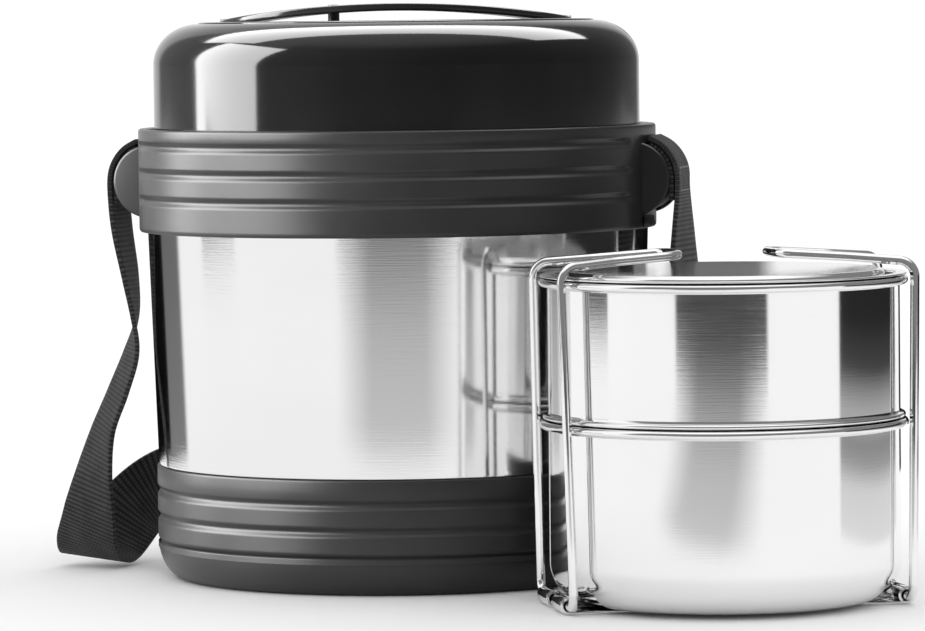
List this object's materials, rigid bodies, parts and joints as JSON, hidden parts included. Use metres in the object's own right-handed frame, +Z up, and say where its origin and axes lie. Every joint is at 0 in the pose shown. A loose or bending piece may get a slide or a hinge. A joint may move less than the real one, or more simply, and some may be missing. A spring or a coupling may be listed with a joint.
{
  "type": "tiffin carrier",
  "caption": "Insulated lunch carrier: ribbed round casing with bayonet lid, folding handle and strap, beside a rack of stacked steel containers held by wire clips.",
  "frame": {"origin": "centre of the casing's flat underside, on the surface it stands on", "axes": "+Z up along the casing's axis, -Y to the front, +X to the viewer's right"},
  "size_m": [0.2694, 0.3092, 0.1819],
  "materials": {
    "brushed_steel": "brushed round the axis",
    "polished_steel": "polished",
    "grey_plastic": "satin moulded",
    "gloss_black_plastic": "high gloss",
    "insulating_foam": "rigid foam",
    "silicone": "satin",
    "webbing": "woven"
  },
  "bodies": {
    "casing": {"base_cup": "grey_plastic", "outer_shell": "brushed_steel", "collar_ring": "grey_plastic", "inner_liner": "brushed_steel", "insulation_jacket": "insulating_foam", "strap_anchor_right": "grey_plastic", "strap_anchor_left": "grey_plastic", "carry_strap": "webbing", "strap_end_right": "webbing", "strap_end_left": "webbing"},
    "seal": {"lid_seal": "silicone"},
    "lid": {"outer_lid": "gloss_black_plastic", "lid_insulation": "insulating_foam", "lid_inner_plate": "polished_steel", "handle_pin_left": "polished_steel", "handle_pin_right": "polished_steel", "handle_catch": "grey_plastic"},
    "handle": {"carry_handle": "gloss_black_plastic"},
    "rack": {"base_strip": "polished_steel"},
    "lower": {"lower_container": "brushed_steel"},
    "upper": {"upper_container": "brushed_steel"},
    "small_lid": {"container_lid": "polished_steel"},
    "clip_left": {"wire_clip_left": "polished_steel"},
    "clip_right": {"wire_clip_right": "polished_steel"}
  },
  "joints": [
    {"name": "lid_lift", "type": "slide", "parent": "casing", "child": "seal", "axis": [0, 0, 1], "range_m": [0, 0.06]},
    {"name": "lid_turn", "type": "hinge", "parent": "seal", "child": "lid", "pos_m": [0, 0, 0.143], "axis": [0, 0, 1], "range_deg": [-30, 0]},
    {"name": "handle_fold", "type": "hinge", "parent": "lid", "child": "handle", "pos_m": [0, 0, 0.1759], "axis": [-1, 0, 0], "range_deg": [0, 95]},
    {"name": "rack_lift", "type": "slide", "parent": "casing", "child": "rack", "axis": [0, 0, 1], "range_m": [0, 0.12]},
    {"name": "clip_left_swing", "type": "hinge", "parent": "rack", "child": "clip_left", "pos_m": [0.0476, -0.11257, 0.0027], "axis": [0.1874, -0.9823, 0], "range_deg": [0, 88]},
    {"name": "clip_right_swing", "type": "hinge", "parent": "rack", "child": "clip_right", "pos_m": [0.14934, -0.09316, 0.0027], "axis": [-0.1874, 0.9823, 0], "range_deg": [0, 88]},
    {"name": "lower_lift", "type": "slide", "parent": "rack", "child": "lower", "axis": [0, 0, 1], "range_m": [0, 0.00401]},
    {"name": "upper_lift", "type": "slide", "parent": "rack", "child": "upper", "axis": [0, 0, 1], "range_m": [0, 0.01401]},
    {"name": "container_lid_lift", "type": "slide", "parent": "rack", "child": "small_lid", "axis": [0, 0, 1], "range_m": [0, 0.02601]}
  ],
  "couplings": [
    {"joint": "clip_right_swing", "follows": "clip_left_swing", "ratio": 1},
    {"joint": "lower_lift", "follows": "clip_left_swing", "m_per_rad": 0.0026044},
    {"joint": "upper_lift", "follows": "clip_left_swing", "m_per_rad": 0.0091152},
    {"joint": "container_lid_lift", "follows": "clip_left_swing", "m_per_rad": 0.016928}
  ]
}
